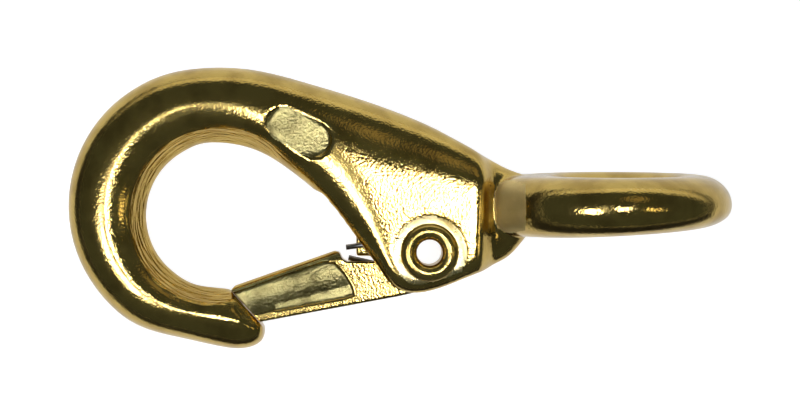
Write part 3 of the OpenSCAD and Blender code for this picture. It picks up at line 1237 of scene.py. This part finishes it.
@dataclass
class Studio:
    """A pale sheet, lamps overhead and the camera above the hook."""

    middle: Point = (-3.8, 5.6)
    distance: float = 300.0
    view_w: float = 104.4
    sensor: float = 36.0
    floor_half: float = 1.5
    sheet_colour: Colour = (0.4, 0.4, 0.4)
    sheet_glow: float = 0.93
    mirrored_glow: float = 0.58
    white: Colour = (1.0, 1.0, 1.0)
    wall_colour: Colour = (0.88, 0.88, 0.86)
    dark_axis: tuple[float, float, float] = (-0.10, -0.42, 0.90)
    dark_colour: Colour = (0.06, 0.07, 0.068)
    dark_edge: float = 101.0
    dark_blur: float = 0.03
    card_colour: Colour = (0.06, 0.06, 0.06)
    card_lift: float = 0.5
    # left, right, front and back of each dark card
    flags: tuple[tuple[float, float, float, float], ...] = (
        (-700, -58, -700, 300),
        (170, 700, -700, 300),
        (-58, 170, -700, -36),
    )
    lamps: tuple[Lamp, ...] = (
        Lamp("key_lamp", -22.5, -8, 140, 0.5, distance=470),
        Lamp("strip_lamp", -9, 0, 40, 0.02, height=5),
        Lamp("face_lamp", 4.5, 1, 110, 0.005, spread=8),
        Lamp("side_lamp", 37, -2, 100, 0.03, (1, 0.88, 0.62), height=0.3),
        Lamp("wall_glow", 24, 38, 140, 0.012, (1, 0.78, 0.5)),
    )
    pose: Matrix = field(default_factory=rest_pose)

    def facing(self) -> Matrix:
        """Return the turn that squares a thing to the hook's plane."""
        return (self.pose @ Matrix.Scale(1 / MM, 4)).to_3x3().to_4x4()

    def camera(self) -> None:
        """Set the camera square to the hook's plane."""
        data = bpy.data.cameras.new("camera")
        data.sensor_width = self.sensor
        data.lens = self.sensor * self.distance / self.view_w
        camera = bpy.data.objects.new("camera", data)
        bpy.context.scene.collection.objects.link(camera)
        eye = self.pose @ Vector((*self.middle, self.distance))
        camera.matrix_world = Matrix.Translation(eye) @ self.facing()
        bpy.context.scene.camera = camera

    def floor(self) -> None:
        """Lay a pale sheet that shows white and keeps the hook's shadow."""
        bpy.ops.object.select_all(action="DESELECT")
        bpy.ops.mesh.primitive_plane_add(size=2 * self.floor_half)
        sheet = bpy.context.object
        sheet.name = "pale_sheet"
        nodes = MaterialNodes("pale_sheet")
        rays = nodes.add("LightPath").outputs
        seen = nodes.ramp(rays["Is Camera Ray"], 0, 1, 0, self.sheet_glow)
        mirrored = nodes.ramp(rays["Is Glossy Ray"], 0, 1, 0, self.mirrored_glow)
        nodes.fill(
            nodes.shader,
            Base_Color=(*self.sheet_colour, 1),
            Roughness=CARD_ROUGHNESS,
            Emission_Color=(*self.white, 1),
            Emission_Strength=nodes.plus(seen, mirrored),
        )
        sheet.data.materials.append(nodes.material)

    def flag(self, left: float, right: float, front: float, back: float) -> None:
        """Lay a dark card beside the sheet, which shows in the metal alone.

        Args:
            left: Its left edge in millimetres.
            right: Its right edge.
            front: Its front edge.
            back: Its back edge.
        """
        bpy.ops.object.select_all(action="DESELECT")
        middle = ((left + right) / 2 * MM, (front + back) / 2 * MM, self.card_lift * MM)
        bpy.ops.mesh.primitive_plane_add(size=1, location=middle)
        card = bpy.context.object
        card.scale = ((right - left) * MM, (back - front) * MM, 1)
        bake_place(card)
        card.name = "dark_card"
        nodes = MaterialNodes("dark_card")
        nodes.fill(nodes.shader, Base_Color=(*self.card_colour, 1), Roughness=CARD_ROUGHNESS)
        card.data.materials.append(nodes.material)
        card.visible_camera = False
        card.visible_shadow = False
        card.visible_diffuse = False

    def world(self) -> None:
        """Surround the hook with white walls under a dark ceiling."""
        world = bpy.data.worlds.new("studio")
        bpy.context.scene.world = world
        world.use_nodes = True
        nodes = NodeTree(world.node_tree)
        dot = nodes.add("VectorMath", Vector=nodes.add("TexCoord").outputs["Generated"])
        dot.operation = "DOT_PRODUCT"
        dot.inputs[1].default_value = Vector(self.dark_axis).normalized()
        edge = math.cos(math.radians(self.dark_edge))
        dark = nodes.ramp(
            dot.outputs["Value"], edge - self.dark_blur, edge + self.dark_blur, 0, 1
        )
        walls = nodes.mix(dark, self.wall_colour, self.dark_colour)
        rays = nodes.add("LightPath").outputs
        seen = nodes.mix(rays["Is Camera Ray"], walls, self.white)
        nodes.fill(nodes.tree.nodes["Background"], Color=seen)

    def hang(self, lamp: Lamp) -> None:
        """Hang one lamp, out of the camera's sight.

        Args:
            lamp: The lamp.
        """
        data = bpy.data.lights.new(lamp.name, "AREA")
        data.shape = "ELLIPSE"
        data.size = lamp.size * MM
        data.size_y = lamp.size * lamp.height * MM
        data.energy = lamp.power
        data.color = lamp.colour
        data.spread = math.radians(lamp.spread)
        obj = bpy.data.objects.new(lamp.name, data)
        bpy.context.scene.collection.objects.link(obj)
        aside = Matrix.Rotation(math.radians(lamp.right), 4, "Y")
        aloft = Matrix.Rotation(math.radians(-lamp.up), 4, "X")
        turn = self.facing() @ aside @ aloft
        middle = Matrix.Translation(self.pose @ Vector((*self.middle, 0)))
        obj.matrix_world = middle @ turn @ Matrix.Translation((0, 0, lamp.distance * MM))
        obj.visible_camera = False

    def build(self) -> None:
        """Set up the camera, the floor, the surroundings and the lamps."""
        bpy.context.scene.view_settings.view_transform = "Standard"
        self.camera()
        self.floor()
        for edges in self.flags:
            self.flag(*edges)
        self.world()
        for lamp in self.lamps:
            self.hang(lamp)


def main() -> None:
    """Build, dress and light the snap hook."""
    logging.basicConfig(level=logging.INFO, format="%(name)s: %(message)s")
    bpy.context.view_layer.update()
    for piece, finish in (
        (HookCasting(), BrassFinish("tumbled_brass")),
        (Gate(), BrassFinish("gate_brass", grain_depth=0.012)),
        (Rivet(), BrassFinish("rolled_brass", roughness=0.2)),
        (TorsionSpring(), WireFinish("drawn_steel")),
    ):
        piece.build()
        piece.dress(finish)
    Studio().build()


if __name__ == "__main__":
    main()
